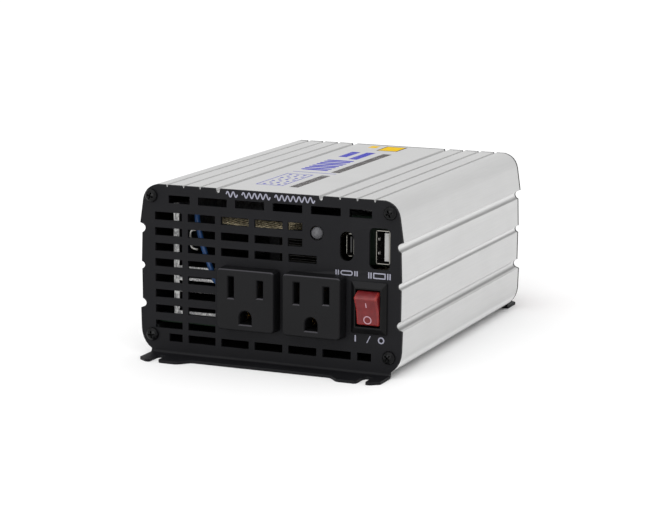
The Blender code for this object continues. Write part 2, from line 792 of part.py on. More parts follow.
def make_knob(name, x):
    """A fluted cap screwed onto the terminal's stud."""
    end = TERMINAL_END
    profile = [
        (0, end),
        (5.4, end),
        (6.9, end - 0.7),
        (7.6, end - 2.2),
        (8.0, KNOB_Y + 4.0),
        (9.2, KNOB_Y + 3.0),
        (9.2, KNOB_Y + 0.5),
        (8.8, KNOB_Y),
        (3.3, KNOB_Y),
        (3.3, end - 2.6),
        (0, end - 2.6),
    ]
    knob = turned(name, profile, x, TERMINAL_Z, 20)
    flutes = []
    for cx, cz in circle(x, TERMINAL_Z, 8.9, 10):
        flutes.append(prism("flute", [circle(cx, cz, 1.6, 6)], KNOB_Y + 3.6, end + 1))
    return cut(knob, together("flutes", flutes))


def make_terminals(parts):
    """Each terminal is an insulator through the panel, a stud, a washer and a screw-on knob."""
    for label, x in TERMINALS:
        colour = "terminal_red" if label == "positive" else "terminal_black"
        collar = LENGTH + SEAM
        base = [
            (3.3, 148.5),
            (8.6, 148.5),
            (9.4, 147.7),
            (9.4, collar),
            (3.9, collar),
            (3.9, 139.7),
            (3.3, 139.7),
        ]
        stud = [
            (0, 161.6),
            (2.3, 161.6),
            (2.9, 161.0),
            (2.9, 139.4),
            (6.2, 139.4),
            (6.2, 136.4),
            (2.9, 136.4),
            (2.9, 131.0),
            (0, 131.0),
        ]
        ring = [(3.3, WASHER_Y + 1.2), (7.4, WASHER_Y + 1.2), (7.4, WASHER_Y), (3.3, WASHER_Y)]
        insulator = turned(f"terminal_insulator_{label}", base, x, TERMINAL_Z, 16, closed=True)
        post = turned(f"terminal_stud_{label}", stud, x, TERMINAL_Z, 12)
        washer = turned(f"terminal_washer_{label}", ring, x, TERMINAL_Z, 16, closed=True)
        pivot = (x, KNOB_Y, TERMINAL_Z)
        parts += [(insulator, colour), (post, "brass")]
        parts.append((washer, "plated_steel", pivot))
        parts.append((make_knob(f"terminal_knob_{label}", x), colour, pivot))


# The circuit inside


def make_heatsink():
    """An upright aluminium web with five level fins, standing along the left of the board."""
    web, edge, tip, fin = -46.9, -44.5, -27.6, 1.4
    low, high = BOARD_TOP + 0.6, 61.5
    outline = [(web, high), (web, low), (edge, low)]
    for level in range(5):
        z = 15.6 + 4.68 * level
        outline += [(edge, z), (tip, z), (tip, z + fin), (edge, z + fin)]
    outline.append((edge, high))
    return prism("heatsink", [outline], 10.0, 104.0)


def make_transistor(name, y):
    """A flat power transistor on the heatsink's web, its three legs in the board."""
    body = box(name, (-51.3, -47.2), (y - 5, y + 5), (22.0, 37.5))
    top, shoulder, tip = 24.0, 23.2, BOARD_TOP + 0.3
    comb = [(y - 3.4, top), (y + 3.4, top), (y + 3.4, shoulder)]
    for leg in (2.54, 0.0, -2.54):
        right, left = y + leg + 0.4, y + leg - 0.4
        comb += [(right, shoulder), (right, tip), (left, tip), (left, shoulder)]
    comb.append((y - 3.4, shoulder))
    legs = prism("legs", [comb], -49.1, -48.5, "YZ")
    return join(body, legs)


def make_transformer(parts):
    """A ferrite core with two windows, its winding round the middle leg."""
    x, y, z = -2.0, 62.0, 34.0
    outer = rectangle(x, z, 44, 38)
    windows = [rectangle(x + side * 11.6, z, 9.0, 27.0) for side in (-1, 1)]
    core = prism("transformer_core", [outer, *windows], y - 8.5, y + 8.5)
    tube = [rounded(x, y, 30.6, 33.0, 5.0), rectangle(x, y, 14.9, 17.9)]
    winding = prism("transformer_winding", tube, z - 12.6, z + 12.6, "XY")
    parts += [(core, "ferrite"), (bevelled(winding, 1.2, 2, 60), "winding_tape")]


def make_capacitor(name, x, y, radius, height):
    """An electrolytic capacitor standing on the board."""
    low = BOARD_TOP + 0.3
    bm = bmesh.new()
    bmesh.ops.create_cone(bm, cap_ends=True, segments=20, radius1=radius, radius2=radius, depth=height)
    bmesh.ops.translate(bm, vec=(x, y, low + height / 2), verts=bm.verts)
    return bevelled(from_bmesh(name, bm), 0.8, 1, 60)


def make_choke():
    """A wound ring standing on the board."""
    x, y, z = 35.0, 42.0, 25.6
    profile = [(7.2 + 3.9 * math.cos(math.radians(a)), 4.2 * math.sin(math.radians(a))) for a in range(90, -270, -60)]
    ring = turned("filter_choke", profile, x, z, 16, closed=True)
    ring.data.transform(Matrix.Translation((0, y, 0)))
    return ring


def make_fuse():
    """A blade fuse in its holder, by the battery leads."""
    body = box("blade_fuse", (12.0, 31.0), (112.0, 117.2), (BOARD_TOP + 0.3, BOARD_TOP + 9.0))
    crown = box("crown", (13.5, 29.5), (113.1, 116.1), (BOARD_TOP + 8.0, BOARD_TOP + 14.0))
    return join(body, crown)


def make_circuit(parts):
    board = box("main_board", (-51.6, 51.6), (6.0, 124.0), (BOARD_LOW, BOARD_TOP))
    parts += [(board, "board_green"), (make_heatsink(), "heatsink")]
    for i in range(4):
        parts.append((make_transistor(f"power_transistor_{i + 1}", 26 + 22 * i), "epoxy"))
    make_transformer(parts)
    parts.append((make_capacitor("capacitor_input_1", 34.0, 98.0, 8.0, 30.0), "capacitor_sleeve"))
    parts.append((make_capacitor("capacitor_input_2", 12.0, 98.0, 8.0, 30.0), "capacitor_sleeve"))
    parts.append((make_capacitor("capacitor_output", 38.0, 68.0, 9.0, 34.0), "capacitor_sleeve"))
    parts += [(make_choke(), "copper_wire"), (make_fuse(), "fuse_green")]


def make_wires(parts):
    """The insulated leads, each on its own route, and the bare copper bundle of the transformer."""
    end = BOARD_TOP + 0.4
    blue = [(-14.5, 23.6, 33.5), (-18.7, 22.6, 32.4), (-22.8, 17.2, 30.2), (-25.2, 11.6, 29.2), (-27.3, 8.4, 31.0)]
    blue += [(-29.5, 8.2, 36.7), (-32.2, 8.2, 43.2), (-34.1, 8.3, 49.5), (-35.4, 8.4, 56.0), (-36.2, 11.5, 58.6)]
    blue += [(-37.0, 20.0, 56.9), (-37.6, 34.0, 54.0), (-38.0, 60.0, 48.5), (-38.0, 90.0, 42.2)]
    blue += [(-36.0, 106.0, 37.0), (-34.0, 110.5, 28.0), (-34.0, 111.0, end)]
    hot = [(27.3, 20.2, 29.0), (27.3, 24.0, 26.0), (24.0, 27.0, 20.0), (24.0, 27.0, end)]
    positive = [(41.5, 129.4, 37.5), (41.5, 124.0, 36.0), (42.0, 119.0, 26.0), (42.0, 118.0, end)]
    negative = [(20.5, 129.4, 37.5), (19.0, 125.0, 36.0), (2.0, 119.0, 26.0), (0.0, 118.0, end)]
    fan = [(-10.0, FAN_FRONT - 0.5, 27.0), (-8.0, 122.5, 25.0), (-6.0, 121.0, 18.0), (-6.0, 121.0, end)]
    bundle = [(-21.0, 44.0, 47.5), (-26.5, 34.0, 51.8), (-31.0, 24.0, 54.2), (-29.0, 17.5, 54.8)]
    bundle += [(-22.2, 16.2, 54.5), (-11.8, 16.0, 54.3), (-1.5, 16.0, 54.2), (5.5, 18.0, 54.6), (10.0, 24.0, 53.6)]
    bundle += [(15.5, 33.0, 50.6), (21.0, 41.0, 46.5), (22.2, 47.0, 36.0), (22.0, 48.0, end)]
    parts.append((wire("lead_neutral", blue, 1.15, 52), "wire_blue"))
    parts.append((wire("lead_hot", hot, 1.3, 14), "wire_black"))
    parts.append((wire("lead_positive", positive, 2.3, 14), "wire_red"))
    parts.append((wire("lead_negative", negative, 2.3, 18), "wire_black"))
    parts.append((wire("lead_fan", fan, 1.0, 12), "wire_black"))
    parts.append((wire("copper_bundle", bundle, 1.8, 36), "copper_wire"))


def build():
    for piece in list(bpy.data.objects):
        bpy.data.objects.remove(piece)
    collection = bpy.data.collections.new(NAME)
    bpy.context.scene.collection.children.link(collection)
    parts = [(make_extrusion(), "aluminium")]
    parts += [(make_front_panel(), "panel_black"), (make_rear_panel(), "panel_black")]
    make_screws(parts)
    left = make_outlet("outlet_left", OUTLET_X[0])
    right = copied("outlet_right", left, (OUTLET_X[1] - OUTLET_X[0], 0, 0))
    parts += [(left, "outlet_black"), (right, "outlet_black")]
    make_contacts(parts)
    pivot = (SWITCH[0], 0, SWITCH[1])
    parts += [(make_switch_housing(), "switch_black"), (make_rocker(), "rocker_red", pivot)]
    for i, z in enumerate((SWITCH[1] + 1.0, SWITCH[1] - 6.0)):
        parts.append((make_spade(f"switch_spade_{i + 1}", z), "plated_steel"))
    parts.append((make_led(), "led_lens"))
    make_ports(parts)
    parts += [(make_fan_frame(), "fan_black"), (make_fan_rotor(), "fan_black", (FAN[0], 135, FAN[1]))]
    make_terminals(parts)
    make_circuit(parts)
    make_wires(parts)
    for piece, slot, *pivot in parts:
        finish(piece, slot, collection, *pivot)


build()
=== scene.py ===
"""The looks of a small power inverter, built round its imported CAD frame.

Shapes are drawn in millimetres in the frame's own axes: x to the right as seen from the outlets,
y from the outlet panel towards the fan panel, and z up from the surface that the feet stand on.
Each finished piece is scaled to metres, gets its material and rides on its CAD body.
"""

import json
import math
import random

import bmesh
import bpy
from mathutils import Matrix, Vector

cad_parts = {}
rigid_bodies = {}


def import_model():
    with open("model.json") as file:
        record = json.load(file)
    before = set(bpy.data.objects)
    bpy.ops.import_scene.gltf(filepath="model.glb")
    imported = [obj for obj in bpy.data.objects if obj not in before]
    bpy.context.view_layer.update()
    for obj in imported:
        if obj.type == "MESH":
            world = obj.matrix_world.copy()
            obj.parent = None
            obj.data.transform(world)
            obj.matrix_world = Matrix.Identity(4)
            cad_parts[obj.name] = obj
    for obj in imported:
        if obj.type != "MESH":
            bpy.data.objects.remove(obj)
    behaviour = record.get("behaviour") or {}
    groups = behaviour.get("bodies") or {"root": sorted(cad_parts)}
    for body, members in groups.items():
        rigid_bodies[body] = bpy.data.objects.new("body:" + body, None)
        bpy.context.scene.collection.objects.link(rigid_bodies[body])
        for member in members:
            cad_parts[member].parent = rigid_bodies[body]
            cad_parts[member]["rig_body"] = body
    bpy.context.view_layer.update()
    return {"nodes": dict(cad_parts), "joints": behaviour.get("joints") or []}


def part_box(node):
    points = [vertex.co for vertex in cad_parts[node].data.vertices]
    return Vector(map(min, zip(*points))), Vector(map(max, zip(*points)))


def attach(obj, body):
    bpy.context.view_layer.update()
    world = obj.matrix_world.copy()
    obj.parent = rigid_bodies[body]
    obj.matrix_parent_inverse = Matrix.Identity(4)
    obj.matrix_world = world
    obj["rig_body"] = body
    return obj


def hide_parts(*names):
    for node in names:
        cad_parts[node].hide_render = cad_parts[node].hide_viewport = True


MM = 0.001

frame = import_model()
NODES = frame["nodes"]


def box_mm(node):
    """The lowest and highest corners of a CAD node, in millimetres."""
    low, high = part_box(node)
    return low / MM, high / MM


def centre_mm(node):
    low, high = box_mm(node)
    return (low + high) / 2


SHEET = 1.2
FRONT = box_mm("front_panel")[1].y - SHEET
REAR = box_mm("rear_panel")[0].y + SHEET
CASE_TOP = box_mm("enclosure_extrusion")[1].z
INK = 0.03


# Materials


class Surface:
    """A Principled material whose patterns are placed by the piece's own coordinates, in metres."""

    def __init__(self, name, **sockets):
        self.material = bpy.data.materials.new(name)
        self.material.use_nodes = True
        self.tree = self.material.node_tree
        self.shader = self.tree.nodes["Principled BSDF"]
        for socket, value in sockets.items():
            self.shader.inputs[socket.replace("_", " ")].default_value = value
        self.coordinates = self.node("ShaderNodeTexCoord").outputs["Object"]

    def node(self, kind, **settings):
        node = self.tree.nodes.new(kind)
        for key, value in settings.items():
            setattr(node, key, value)
        return node

    def feed(self, socket, value):
        """Link an output to a socket, or set the socket to a number, vector or colour."""
        if isinstance(value, bpy.types.NodeSocket):
            self.tree.links.new(value, socket)
        elif isinstance(value, tuple) and len(value) == 3 and socket.type == "RGBA":
            socket.default_value = (*value, 1)
        else:
            socket.default_value = value

    def output(self, socket, value):
        self.feed(self.shader.inputs[socket], value)

    def vector(self, operation, a, b):
        node = self.node("ShaderNodeVectorMath", operation=operation)
        self.feed(node.inputs[0], a)
        self.feed(node.inputs[1], b)
        return node.outputs["Value" if operation == "DOT_PRODUCT" else "Vector"]

    def math(self, operation, a, b=0.0):
        node = self.node("ShaderNodeMath", operation=operation)
        self.feed(node.inputs[0], a)
        self.feed(node.inputs[1], b)
        return node.outputs[0]

    def remap(self, value, low, high, to_low=0.0, to_high=1.0):
        node = self.node("ShaderNodeMapRange")
        for socket, number in zip(node.inputs, (value, low, high, to_low, to_high)):
            self.feed(socket, number)
        return node.outputs[0]

    def mix(self, factor, a, b):
        node = self.node("ShaderNodeMix", data_type="RGBA")
        self.feed(node.inputs["Factor"], factor)
        self.feed(node.inputs[6], a)
        self.feed(node.inputs[7], b)
        return node.outputs[2]

    def noise(self, size, detail=3.0, stretch=None):
        """Noise with features about size metres across, drawn out along an axis if stretched."""
        node = self.node("ShaderNodeTexNoise")
        place = self.vector("MULTIPLY", self.coordinates, stretch) if stretch else self.coordinates
        self.feed(node.inputs["Vector"], place)
        node.inputs["Scale"].default_value = 1 / size
        node.inputs["Detail"].default_value = detail
        return node.outputs[0]

    def bump(self, height, depth):
        """Relief of that depth in metres on the surface."""
        node = self.node("ShaderNodeBump")
        node.inputs["Distance"].default_value = depth
        self.feed(node.inputs["Height"], height)
        self.output("Normal", node.outputs[0])

    def edges(self, radius):
        """A mask of the piece's sharp edges: where the rounded normal leans off the true one."""
        rounded = self.node("ShaderNodeBevel", samples=4)
        rounded.inputs["Radius"].default_value = radius
        true = self.node("ShaderNodeNewGeometry").outputs["Normal"]
        return self.remap(self.vector("DOT_PRODUCT", rounded.outputs[0], true), 0.985, 0.86)

    def split(self, vector, name):
        node = self.node("ShaderNodeSeparateXYZ")
        self.feed(node.inputs[0], vector)
        return node.outputs[name]

    def axis(self, name):
        return self.split(self.coordinates, name)

    def facing(self, name):
        """How far the surface faces along the piece's own axis of that name."""
        return self.split(self.coordinates.node.outputs["Normal"], name)


def scaled(colour, factor):
    return tuple(min(1.0, c * factor) for c in colour)


def coated(name, colour, roughness, grain, depth, tone=0.12, patch=0.012, worn=None, wear=0.0003,
           stretch=None, painted_slope_shading=None, **sockets):
    """A surface with uneven tone in patches, uneven roughness, fine relief and worn edges.

    A painted highlight colour goes on the slopes that face up and forward.
    """
    s = Surface(name, **sockets)
    patches = s.remap(s.noise(patch, 4), 0.3, 0.7)
    shade = s.mix(patches, scaled(colour, 1 - tone), scaled(colour, 1 + tone))
    fine = s.noise(grain, 3, stretch)
    shade = s.mix(s.remap(fine, 0.35, 0.65, 0.0, 0.35), shade, scaled(colour, 1 + 1.5 * tone))
    if worn:
        rubbed = s.math("MULTIPLY", s.edges(wear), s.remap(s.noise(patch / 4, 4), 0.35, 0.6))
        shade = s.mix(rubbed, shade, worn)
    # painted highlight: slopes that face up and forward get a lighter colour
    if painted_slope_shading:
        up = s.remap(s.facing("Z"), 0.3, 0.75)
        forward = s.remap(s.facing("Y"), -0.15, -0.45)
        shade = s.mix(s.math("MULTIPLY", up, forward), shade, painted_slope_shading)
    s.output("Base Color", shade)
    s.output("Roughness", s.remap(s.noise(patch / 2, 4), 0.3, 0.7, *roughness))
    s.bump(fine, depth)
    return s


def printed(name, colour):
    """Matt ink with a slightly uneven cover."""
    return coated(name, colour, (0.6, 0.75), 0.0003, 0.000003, tone=0.08, patch=0.002,
                  Specular_IOR_Level=0.06)


GROOVES_BELOW = 0.0545
GROOVE_LIP = 0.0562


def aluminium_finish(name, colour, inner):
    """Satin anodised aluminium with faint drawing lines along y, and painted shade, near black, inside the
    bore.

    Its side grooves get painted light on their floors and a painted shadow line along their lower lips.
    """
    s = coated(name, colour, (0.4, 0.5), 0.00035, 0.000008, tone=0.03, patch=0.02,
               worn=scaled(colour, 1.25), wear=0.00025, Metallic=0.75)
    colour_link = s.shader.inputs["Base Color"].links[0]
    shade = colour_link.from_socket
    lines = s.remap(s.noise(0.0004, 2, (1.0, 0.02, 1.0)), 0.35, 0.65)
    shade = s.mix(s.math("MULTIPLY", lines, 0.12), shade, scaled(colour, 0.7))
    # painted shade: the inside of the bore is painted near black
    side, top, bottom = inner
    inside = s.math("LESS_THAN", s.math("ABSOLUTE", s.axis("X")), side)
    inside = s.math("MULTIPLY", inside, s.math("LESS_THAN", s.axis("Z"), top))
    inside = s.math("MULTIPLY", inside, s.math("GREATER_THAN", s.axis("Z"), bottom))
    shade = s.mix(inside, shade, (0.012, 0.012, 0.013))
    # painted light and shade in the side grooves: lighter floors facing sideways, a darker line on the
    # upward faces along the lower lips
    across = s.math("ABSOLUTE", s.axis("X"))
    flank = s.math("LESS_THAN", s.axis("Z"), GROOVES_BELOW)
    groove = s.math("MULTIPLY", flank, s.remap(across, GROOVE_LIP, GROOVE_LIP - 0.0006))
    groove = s.math("MULTIPLY", groove, s.math("GREATER_THAN", across, GROOVE_LIP - 0.0022))
    painted_slope_shading = s.math("MULTIPLY", groove, s.remap(s.facing("Z"), 0.55, 0.8))
    painted_groove_light = s.math("MULTIPLY", groove, s.remap(s.facing("Z"), 0.55, 0.3))
    shade = s.mix(painted_groove_light, shade, scaled(colour, 1.3))
    s.output("Base Color", s.mix(painted_slope_shading, shade, scaled(colour, 0.5)))
    return s


def board_finish(name):
    """Solder mask over copper tracks, with bright pads."""
    s = coated(name, (0.003, 0.012, 0.007), (0.4, 0.55), 0.0006, 0.00001, Specular_IOR_Level=0.2)
    tracks = s.node("ShaderNodeTexBrick", offset=0.5, squash=1.0)
    s.feed(tracks.inputs["Vector"], s.coordinates)
    tracks.inputs["Scale"].default_value = 160
    tracks.inputs["Mortar Size"].default_value = 0.05
    s.feed(tracks.inputs["Color1"], (0.003, 0.012, 0.007))
    s.feed(tracks.inputs["Color2"], (0.004, 0.018, 0.01))
    s.feed(tracks.inputs["Mortar"], (0.005, 0.018, 0.008))
    pads = s.node("ShaderNodeTexVoronoi")
    s.feed(pads.inputs["Vector"], s.coordinates)
    pads.inputs["Scale"].default_value = 260
    bright = s.remap(pads.outputs["Distance"], 0.14, 0.1)
    s.output("Base Color", s.mix(bright, tracks.outputs["Color"], (0.05, 0.05, 0.045)))
    return s


def wound_finish(name, colour, pitch, axis):
    """Turns of wire or tape that lie side by side along an axis."""
    s = coated(name, colour, (0.25, 0.45), 0.0008, 0.00002, tone=0.2, patch=0.004)
    turns = s.node("ShaderNodeTexWave", bands_direction=axis)
    s.feed(turns.inputs["Vector"], s.coordinates)
    turns.inputs["Scale"].default_value = 0.314 / pitch
    turns.inputs["Distortion"].default_value = 0.6
    s.output("Base Color", s.mix(turns.outputs["Fac"], scaled(colour, 0.45), scaled(colour, 1.3)))
    s.bump(turns.outputs["Fac"], pitch * 0.3)
    return s


def rocker_finish(name):
    """Clouded red plastic, darker on its flat faces, with a painted glow along its edges."""
    face, rim = (0.13, 0.011, 0.013), (0.8, 0.07, 0.04)
    s = Surface(name, Subsurface_Weight=0.25, Subsurface_Scale=0.0012, Specular_IOR_Level=0.35)
    s.shader.inputs["Subsurface Radius"].default_value = (1.0, 0.25, 0.2)
    cloud = s.mix(s.remap(s.noise(0.003, 4), 0.3, 0.7), scaled(face, 0.85), scaled(face, 1.2))
    # painted highlight: a bright red glow along the edges
    s.output("Base Color", s.mix(s.edges(0.0008), cloud, rim))
    s.output("Roughness", s.remap(s.noise(0.002, 3), 0.3, 0.7, 0.28, 0.4))
    s.bump(s.noise(0.0003, 2), 0.000006)
    return s


def lens_finish(name):
    """Frosted grey epoxy."""
    s = Surface(name, Subsurface_Weight=0.4, Subsurface_Scale=0.001, Specular_IOR_Level=0.3)
    s.shader.inputs["Subsurface Radius"].default_value = (1.0, 1.0, 1.0)
    cloud = s.noise(0.0012, 3)
    s.output("Base Color", s.mix(s.remap(cloud, 0.3, 0.7), (0.07, 0.07, 0.076), (0.1, 0.1, 0.107)))
    s.output("Roughness", s.remap(cloud, 0.3, 0.7, 0.3, 0.42))
    s.bump(s.noise(0.0002, 2), 0.000004)
    return s


SLEEVE_RIM = 0.0003


def sleeve_finish(name, node):
    """Thin plated steel along its front rim, with painted shade down inside: near black and not metal."""
    s = coated(name, (0.3, 0.29, 0.26), (0.25, 0.4), 0.0004, 0.000004, patch=0.003, Metallic=1.0,
               Specular_IOR_Level=0.1)
    low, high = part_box(node)
    middle, half = (low + high) / 2, (high - low) / 2
    across = s.math("ABSOLUTE", s.math("SUBTRACT", s.axis("X"), middle.x))
    along = s.math("ABSOLUTE", s.math("SUBTRACT", s.axis("Z"), middle.z))
    # painted shade: within the rim the sleeve is painted near black and not metal
    within_width = s.math("LESS_THAN", across, half.x - SLEEVE_RIM)
    within_height = s.math("LESS_THAN", along, half.z - SLEEVE_RIM)
    inside = s.math("MULTIPLY", within_width, within_height)
    plate_colour = s.shader.inputs["Base Color"].links[0].from_socket
    s.output("Base Color", s.mix(inside, plate_colour, (0.006, 0.0055, 0.005)))
    s.output("Metallic", s.math("SUBTRACT", 1.0, inside))
    s.output("Roughness", s.remap(inside, 0.0, 1.0, 0.3, 0.9))
    return s


def sink_finish(name):
    """Painted shade, near black, on the long faces, and painted light on the ends where the length was cut.
    """
    s = Surface(name, Specular_IOR_Level=0.3)
    # painted light and shade: ends facing along y are painted bright, the long faces near black
    ends = s.remap(s.math("ABSOLUTE", s.facing("Y")), 0.6, 0.8)
    streaks = s.remap(s.noise(0.0007, 3, (1.0, 1.0, 0.5)), 0.38, 0.62)
    lit_sawn_colour = s.mix(streaks, (0.35, 0.35, 0.36), (0.95, 0.95, 0.93))
    shaded_faces = s.mix(s.noise(0.003, 3), (0.003, 0.003, 0.0035), (0.006, 0.006, 0.0065))
    s.output("Base Color", s.mix(ends, shaded_faces, lit_sawn_colour))
    s.output("Metallic", s.math("MULTIPLY", ends, 0.35))
    s.output("Roughness", s.remap(streaks, 0.0, 1.0, 0.35, 0.6))
    s.bump(streaks, 0.00004)
    return s


def strand_finish(name):
    """Enamelled copper, each strand a little different."""
    return coated(name, (0.28, 0.24, 0.16), (0.2, 0.4), 0.0005, 0.00001, tone=0.6, patch=0.0016,
                  Metallic=0.9)


BLACK = (0.006, 0.006, 0.0072)
FINISHES = {
    "aluminium": aluminium_finish("aluminium_satin", (0.6, 0.6, 0.598), (0.0523, 0.06695, 0.00445)),
    # the dark parts below carry a painted highlight on slopes facing up and forward
    "panel_black": coated("powder_coat", BLACK, (0.5, 0.62), 0.0004, 0.00002, worn=(0.02, 0.02, 0.022),
                          wear=0.00018, painted_slope_shading=(0.012, 0.012, 0.013), Specular_IOR_Level=0.12),
    "screw_black": coated("black_oxide", (0.004, 0.004, 0.0044), (0.16, 0.3), 0.0002, 0.000004, patch=0.002,
                          worn=(0.04, 0.04, 0.04), wear=0.0002, Specular_IOR_Level=0.12),
    "outlet_black": coated("moulded_black", (0.0053, 0.0053, 0.006), (0.42, 0.55), 0.00025, 0.00001,
                           worn=(0.014, 0.014, 0.015), painted_slope_shading=(0.055, 0.053, 0.06), Specular_IOR_Level=0.13),
    "switch_black": coated("switch_plastic", (0.0035, 0.0035, 0.0038), (0.35, 0.48), 0.00025, 0.000008,
                           worn=(0.012, 0.012, 0.012), painted_slope_shading=(0.018, 0.018, 0.02), Specular_IOR_Level=0.12),
    "rocker_red": rocker_finish("rocker_plastic"),
    "led_lens": lens_finish("frosted_lens"),
    "brass": coated("brass_sheet", (0.66, 0.47, 0.2), (0.25, 0.4), 0.0003, 0.000006, patch=0.004,
                    Metallic=1.0),
    "plated_steel": coated("nickel_plate", (0.62, 0.61, 0.58), (0.22, 0.36), 0.0004, 0.000006, patch=0.003,
                           stretch=(1.0, 0.1, 1.0), Metallic=1.0),
    "port_white": coated("white_moulding", (0.4, 0.4, 0.39), (0.35, 0.5), 0.0002, 0.000004, tone=0.05),
    "port_black": coated("black_moulding", (0.012, 0.012, 0.012), (0.35, 0.5), 0.0002, 0.000004),
    "board_green": board_finish("solder_mask"),
    "heatsink": sink_finish("heatsink_painted_light"),
    "sleeve_a": sleeve_finish("sleeve_a_steel", "usb_a_shell"),
    "sleeve_c": sleeve_finish("sleeve_c_steel", "usb_c_shell"),
    "ferrite": coated("ferrite_grey", (0.006, 0.006, 0.007), (0.45, 0.6), 0.0006, 0.00002,
                      worn=(0.02, 0.02, 0.02), Specular_IOR_Level=0.2),
    "winding_tape": wound_finish("winding_tape", (0.006, 0.005, 0.003), 0.0022, "Z"),
    "copper_wire": strand_finish("enamelled_copper"),
    "capacitor_sleeve": coated("sleeve_film", (0.02, 0.02, 0.05), (0.25, 0.4), 0.0008, 0.000008,
                               Coat_Weight=0.3),
    "epoxy": coated("epoxy_moulding", (0.012, 0.012, 0.013), (0.4, 0.55), 0.0003, 0.00001),
    "fan_black": coated("fan_plastic", (0.011, 0.011, 0.0115), (0.38, 0.52), 0.0003, 0.00001,
                        worn=(0.04, 0.04, 0.04)),
    "terminal_red": coated("terminal_red_plastic", (0.36, 0.02, 0.016), (0.3, 0.42), 0.0003, 0.00001,
                           worn=(0.5, 0.06, 0.05), Coat_Weight=0.15),
    "terminal_black": coated("terminal_black_plastic", (0.012, 0.012, 0.0125), (0.3, 0.42), 0.0003, 0.00001,
                             worn=(0.05, 0.05, 0.05), Coat_Weight=0.15),
    "wire_blue": coated("blue_insulation", (0.012, 0.06, 0.19), (0.3, 0.45), 0.0006, 0.00001, patch=0.004),
    "wire_red": coated("red_insulation", (0.32, 0.02, 0.016), (0.3, 0.45), 0.0006, 0.00001, patch=0.004),
    "wire_black": coated("black_insulation", (0.012, 0.012, 0.013), (0.3, 0.45), 0.0006, 0.00001,
                         patch=0.004),
    "fuse_green": coated("fuse_plastic", (0.03, 0.22, 0.06), (0.2, 0.35), 0.0006, 0.000006, Coat_Weight=0.3),
    "ink_pale": printed("ink_pale", (0.27, 0.27, 0.325)),
    "ink_white": printed("ink_white", (0.42, 0.26, 0.3)),
    "ink_blue": printed("ink_blue", (0.016, 0.016, 0.4)),
    "ink_dark": printed("ink_dark", (0.035, 0.028, 0.028)),
    "ink_yellow": printed("ink_yellow", (0.72, 0.46, 0.008)),
}


# Outlines, as lists of points


def arc(cx, cy, radius, start, end, steps):
    """Points on an arc from the start angle to the end angle, in degrees."""
    points = []
    for i in range(steps + 1):
        angle = math.radians(start + (end - start) * i / steps)
        points.append((cx + radius * math.cos(angle), cy + radius * math.sin(angle)))
    return points


def ring(cx, cy, radius, steps=32):
    return arc(cx, cy, radius, 0, 360 - 360 / steps, steps - 1)


def rectangle(x, y, width, height, radius=0.0):
    """A rectangle about its middle, with rounded corners if it has a radius."""
    corners = []
    for i, (sx, sy) in enumerate(((1, 1), (-1, 1), (-1, -1), (1, -1))):
        cx, cy = x + sx * (width / 2 - radius), y + sy * (height / 2 - radius)
        corners += arc(cx, cy, radius, 90 * i, 90 * i + 90, 4) if radius else [(cx, cy)]
    return corners


def dome(radius, rise, step):
    """Points on a dome's profile, (radius, height) from its top at height 0 down to its rim."""
    turns = [math.radians(angle) for angle in range(0, 91, step)]
    return [(radius * math.sin(turn), -rise * (1 - math.cos(turn))) for turn in turns]


def stroke(points, width):
    """The outline of a line of that width through the points."""
    left, right = [], []
    for i, (x, y) in enumerate(points):
        x0, y0 = points[max(i - 1, 0)]
        x1, y1 = points[min(i + 1, len(points) - 1)]
        length = math.hypot(x1 - x0, y1 - y0)
        nx, ny = -(y1 - y0) / length * width / 2, (x1 - x0) / length * width / 2
        left.append((x + nx, y + ny))
        right.append((x - nx, y - ny))
    return left + right[::-1]


# Pieces, in millimetres


def link(name, mesh):
    piece = bpy.data.objects.new(name, mesh)
    bpy.context.scene.collection.objects.link(piece)
    return piece


def from_bmesh(name, bm):
    bmesh.ops.recalc_face_normals(bm, faces=bm.faces)
    mesh = bpy.data.meshes.new(name)
    bm.to_mesh(mesh)
    bm.free()
    return link(name, mesh)


def evaluated_mesh(piece):
    bpy.context.view_layer.update()
    return bpy.data.meshes.new_from_object(piece.evaluated_get(bpy.context.evaluated_depsgraph_get()))


def bake(piece):
    mesh = evaluated_mesh(piece)
    piece.modifiers.clear()
    piece.data = mesh
    return piece


def axes(origin, u, v):
    """The matrix of a plane: its first and second directions, and its normal between them."""
    u, v = Vector(u).normalized(), Vector(v).normalized()
    matrix = Matrix((u, v, u.cross(v))).transposed().to_4x4()
    matrix.translation = Vector(origin)
    return matrix


def plate(name, outlines, low, high, plane):
    """Flat outlines, with holes as further outlines, given a thickness along the plane's normal."""
    data = bpy.data.curves.new(name, "CURVE")
    data.dimensions = "2D"
    data.fill_mode = "BOTH"
    data.extrude = (high - low) / 2
    for outline in outlines:
        spline = data.splines.new("POLY")
        spline.points.add(len(outline) - 1)
        for point, (x, y) in zip(spline.points, outline):
            point.co = (x, y, 0, 1)
        spline.use_cyclic_u = True
    curve = link(name, data)
    mesh = evaluated_mesh(curve)
    bpy.data.objects.remove(curve)
    bm = bmesh.new()
    bm.from_mesh(mesh)
    bmesh.ops.remove_doubles(bm, verts=bm.verts, dist=0.0005)
    bmesh.ops.transform(bm, matrix=plane @ Matrix.Translation((0, 0, (low + high) / 2)), verts=bm.verts)
    return from_bmesh(name, bm)


